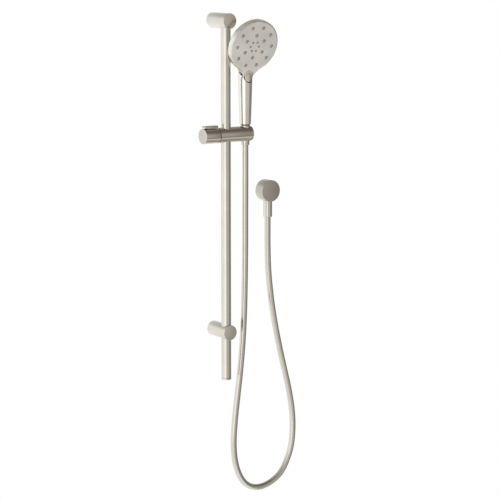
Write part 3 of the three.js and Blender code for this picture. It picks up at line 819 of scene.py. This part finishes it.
def melted(meshes):
    """One skin round overlapping bodies, softened a little everywhere and more at the neck."""
    bm = bmesh.new()
    for mesh in meshes:
        bm.from_mesh(mesh)
    joined = bpy.data.meshes.new("melted")
    bm.to_mesh(joined)
    bm.free()
    body = bpy.data.objects.new("melt_body", joined)
    bpy.context.collection.objects.link(body)
    remesh = body.modifiers.new("skin", "REMESH")
    remesh.mode = "VOXEL"
    remesh.voxel_size = SKIN_VOXEL
    settle = body.modifiers.new("settle", "SMOOTH")
    settle.factor = 0.5
    settle.iterations = 6
    skin = baked(body)
    body = bpy.data.objects.new("melt_skin", skin)
    bpy.context.collection.objects.link(body)
    neck = body.vertex_groups.new(name="neck")
    heart = HEAD @ Vector(NECK_HEART)
    for vert in skin.vertices:
        away = (vert.co - heart).length
        weight = 1 - min(1, max(0, (away - NECK_SOFT_R) / NECK_FADE))
        if weight > 0:
            neck.add([vert.index], weight, "REPLACE")
    soften = body.modifiers.new("soften", "SMOOTH")
    soften.vertex_group = "neck"
    soften.factor = 0.5
    soften.iterations = 90
    return baked(body)


def handset_skin():
    """Head back, neck and handle melted into one closed skin."""
    drum = moved(turned([
        (0, -0.017), (0.048, -0.0163), (0.0555, -0.0155), (0.0590, -0.0140), (0.0606, -0.0115),
        (HEAD_R, -0.0085), (HEAD_R, 0), (0, 0),
    ], 160), HEAD)
    neck = prism(paddle(0), NECK_BACK, 0)
    handle = moved(turned([
        (0, HANDLE_BOTTOM - 0.006), (HANDLE_BOTTOM_R, HANDLE_BOTTOM - 0.006),
        (HANDLE_BOTTOM_R, HANDLE_BOTTOM), (HANDLE_TOP_R, -0.137), (HANDLE_TOP_R, -0.112),
        (0.0145, -0.103), (0.010, -0.099), (0, -0.098),
    ], 96), at(SOCKET_AXIS))
    root = prism(neck_part(0.0022, -0.0570), NECK_BACK, NECK_GROOVE)
    low, high = HEAD @ Vector(RIDGE_LOW), HEAD @ Vector(RIDGE_HIGH)
    along = high - low
    ridge = moved(turned([(0, 0), (0.0152, 0), (0.0100, along.length), (0, along.length)], 64),
                  at(low, along.to_track_quat("Z", "Y").to_matrix().to_4x4()))
    return melted([drum, neck, root, ridge, handle])


def add_handset_shell(skin):
    """The shell, with the seat of the face plate and the button cut into its front."""
    under = moved(block((-0.03, -0.03, HANDLE_BOTTOM - 0.03), (0.03, 0.03, HANDLE_BOTTOM)),
                  at(SOCKET_AXIS))
    seat = prism(paddle(-SEAT_SLACK), SHELL_FRONT)
    edge_groove = prism(neck_part(0.0009, -0.0530), NECK_GROOVE)
    plate_groove = prism(neck_part(0.0020, -0.0605, -0.0700), SIDE_GROOVE)
    button_groove = prism(neck_part(0.0020, -0.0742), SIDE_GROOVE)
    cavity = moved(cylinder(CAVITY_R, CAVITY_BACK, 0.002), HEAD)
    well = prism(button_outline(SEAT_SLACK), BUTTON_WELL)
    bore = moved(cylinder(HANDLE_BORE_R, HANDLE_BOTTOM - 0.01, -0.204), at(SOCKET_AXIS))
    chamber = moved(cylinder(0.011, -0.205, -0.141), at(SOCKET_AXIS))
    grooves = (edge_groove, plate_groove, button_groove)
    mesh = carve(skin, under, seat, *grooves, cavity, well, bore, chamber)
    add_piece("handset_shell_smooth", smooth(mesh, 40), nickel_handle, "handset",
              ["handset_shell"])


def nozzle_places():
    places = []
    for radius, count, size, start in NOZZLE_RINGS:
        for i in range(count):
            angle = math.radians(start + 360 * i / count)
            places.append((radius * math.cos(angle), radius * math.sin(angle), size))
    return places


def add_face_plate(skin):
    """The front of the skin inside the paddle's outline: flat, and round over the handle."""
    wide, narrow = paddle(0), paddle(PLATE_CHAMFER)
    outline = moved(stacked([
        (wide, PLATE_BACK), (wide, -PLATE_CHAMFER), (narrow, 0), (narrow, PRISM_FRONT),
    ]), HEAD)
    around = prism(button_outline(BUTTON_SEAM), -0.006)
    mesh = carve(carve(outline, skin, operation="INTERSECT"), around)
    holes = [
        moved(cylinder(size + NOZZLE_GAP, -0.004, 0.002, 48), HEAD @ at((x, y, 0)))
        for x, y, size in nozzle_places()]
    mesh = smooth(carve(mesh, *holes), 40)
    add_piece("face_plate_smooth", mesh, nickel_face, "handset", ["face_plate"])


def add_nozzles():
    """A silicone sheet with a domed tip in each hole, each with its own jet hole."""
    sheet = cylinder(0.053, -0.0046, SHELL_FRONT)
    add_piece("nozzle_sheet", moved(smooth(sheet), HEAD), nozzle_rubber, "handset",
              ["nozzle_mat"])
    for number, (x, y, size) in enumerate(nozzle_places(), 1):
        jet = size * 0.16
        top = NOZZLE_PROUD
        profile = rounded([
            (0, NOZZLE_FOOT), (size, NOZZLE_FOOT), (size, 0.0002), (size * 0.74, top - 0.0004),
            (size * 0.62, top), (jet, top), (jet, -0.0010), (0, -0.0010),
        ], 0.0003)
        tip = moved(turned(profile, 40), HEAD @ at((x, y, 0)))
        add_piece(f"nozzle_{number:02d}", smooth(tip), nozzle_rubber, "handset")


def add_shadow_under_handle():
    """A black ring, painted shadow in the gap between the handle's end and the hose nut."""
    top, bottom = HANDLE_BOTTOM + 0.0015, NUT_TOP.z + 0.0003
    inner, outer = HANDLE_GAP_SHADOW_BORE_R, HANDLE_GAP_SHADOW_R
    profile = [(inner, bottom), (outer, bottom), (outer, top), (inner, top)]
    ring = moved(turned(profile, ring=True), at(SOCKET_AXIS))
    add_piece("handle_gap_shadow", smooth(ring), black_acetal, "handset")


def add_mode_button(skin):
    """The front of the skin inside the button's outline."""
    outline = prism(button_outline(), -0.004)
    mesh = smooth(carve(outline, skin, operation="INTERSECT"), 40)
    add_piece("mode_button_smooth", mesh, nickel_face, "button", ["mode_button"])


# ---- springs ----
def coil_points(radius, low, high, turns):
    """A helix about Z that starts a quarter turn round."""
    count = turns * COIL_STEPS
    points = []
    for i in range(count + 1):
        angle = math.pi / 2 + 2 * math.pi * i / COIL_STEPS
        height = low + (high - low) * i / count
        points.append(Vector((radius * math.cos(angle), radius * math.sin(angle), height)))
    return points


def add_spring(node, body, place, low, high, radius, turns):
    """A wire coil in place of the spring's node, on the body given."""
    points = coil_points(radius, low + SPRING_WIRE, high - SPRING_WIRE, turns)
    mesh = moved(tube_mesh(tube_rings(points, SPRING_WIRE, 10), True, True), place)
    spring = add_piece(f"{node}_coil", mesh, steel, body, [node])
    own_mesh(spring)


def add_springs():
    low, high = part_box("release_spring")
    axis = Vector(((low.x + high.x) / 2, (low.y + high.y) / 2, 0))
    add_spring("release_spring", "slider", at(axis), low.z, high.z,
               radius=0.0031, turns=5)
    add_spring("button_spring", "handset", HEAD @ at((0, SPOOL_V, 0)),
               -0.0081, -0.0045, radius=0.0049, turns=2)


# ---- hose ----
def hose_line(steps=24):
    """The route as an evenly spaced smooth line, a spline with its end tangents carried on."""
    points = [Vector(place) * MM for place in HOSE_ROUTE]
    points = [2 * points[0] - points[1], *points, 2 * points[-1] - points[-2]]
    fine = []
    for before, start, end, after in zip(points, points[1:], points[2:], points[3:]):
        for i in range(steps):
            t = i / steps
            fine.append(0.5 * (
                2 * start + (end - before) * t
                + (2 * before - 5 * start + 4 * end - after) * t ** 2
                + (3 * start - before - 3 * end + after) * t ** 3))
    fine.append(points[-2])
    return evenly_spaced(fine, HOSE_STEP)


def evenly_spaced(points, step):
    """Points along the same line, about a step apart."""
    lengths = [0.0]
    for start, end in zip(points, points[1:]):
        lengths.append(lengths[-1] + (end - start).length)
    count = round(lengths[-1] / step)
    result = []
    k = 0
    for i in range(count + 1):
        goal = lengths[-1] * i / count
        while k < len(points) - 2 and lengths[k + 1] < goal:
            k += 1
        t = (goal - lengths[k]) / (lengths[k + 1] - lengths[k])
        result.append(points[k].lerp(points[k + 1], t))
    return result


def tube_rings(line, radius, sides=32):
    """A ring of points round each point of the line, turned with as little twist as can be."""
    rings = []
    side = Vector((0, 1, 0))
    for i, centre in enumerate(line):
        ahead = (line[min(i + 1, len(line) - 1)] - line[max(i - 1, 0)]).normalized()
        side = (side - ahead * side.dot(ahead)).normalized()
        across = ahead.cross(side)
        rings.append([
            centre + radius * (side * math.cos(a) + across * math.sin(a))
            for a in (2 * math.pi * k / sides for k in range(sides))])
    return rings


def tube_mesh(rings, cap_start, cap_end):
    """A skin over the rings, closed at the ends that are capped."""
    mesh = bpy.data.meshes.new("tube")
    bm = bmesh.new()
    rows = [[bm.verts.new(point) for point in ring] for ring in rings]
    for low, high in zip(rows, rows[1:]):
        for i in range(len(low)):
            j = (i + 1) % len(low)
            bm.faces.new((low[i], low[j], high[j], high[i]))
    if cap_start:
        bm.faces.new(rows[0])
    if cap_end:
        bm.faces.new(rows[-1])
    bmesh.ops.recalc_face_normals(bm, faces=bm.faces)
    bm.to_mesh(mesh)
    bm.free()
    return smooth(mesh, 60)


def add_hose():
    """One hose in three fixed lengths, split where it leaves the handset and at the loop's lowest
    point.

    None is attached to a body; the two bodies and two heights listed for each length are not used.
    """
    line = hose_line()
    rings = tube_rings(line, HOSE_R)
    lowest = min(range(len(line)), key=lambda i: line[i].z)
    first = next(i for i, point in enumerate(line) if point.z < HANDSET_END)
    last = len(line) - 1
    top, bottom, elbow_z = line[0].z, line[lowest].z, line[last].z
    lengths = [
        ("hose_handset_length", 0, first, "slider", "hose_end", HANDSET_END, top),
        ("hose_left_length", first, lowest, "slider_bushes", "slider", TURN_END, HANDSET_END),
        ("hose_right_length", lowest, last, "wall_set", "slider_bushes", elbow_z, bottom),
    ]
    for name, start, end, body_a, body_b, from_z, to_z in lengths:
        mesh = tube_mesh(rings[start:end + 1], start == 0, end == last)
        piece = bpy.data.objects.new(name, mesh)
        bpy.context.collection.objects.link(piece)
        mesh.materials.append(hose_skin)
        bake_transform(piece)
        if start == 0:
            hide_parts("hose")


add_camera()
add_world()
add_floor()
finish_frame_nodes()
add_rail()
add_post("upper", through=False)
add_post("lower", through=True)
add_elbow()
add_slider_body()
add_slider_cap()
add_release_tab()
add_conical_nut()
skin = handset_skin()
add_handset_shell(skin.copy())
add_face_plate(skin.copy())
add_mode_button(skin)
add_shadow_under_handle()
add_nozzles()
add_springs()
add_hose()
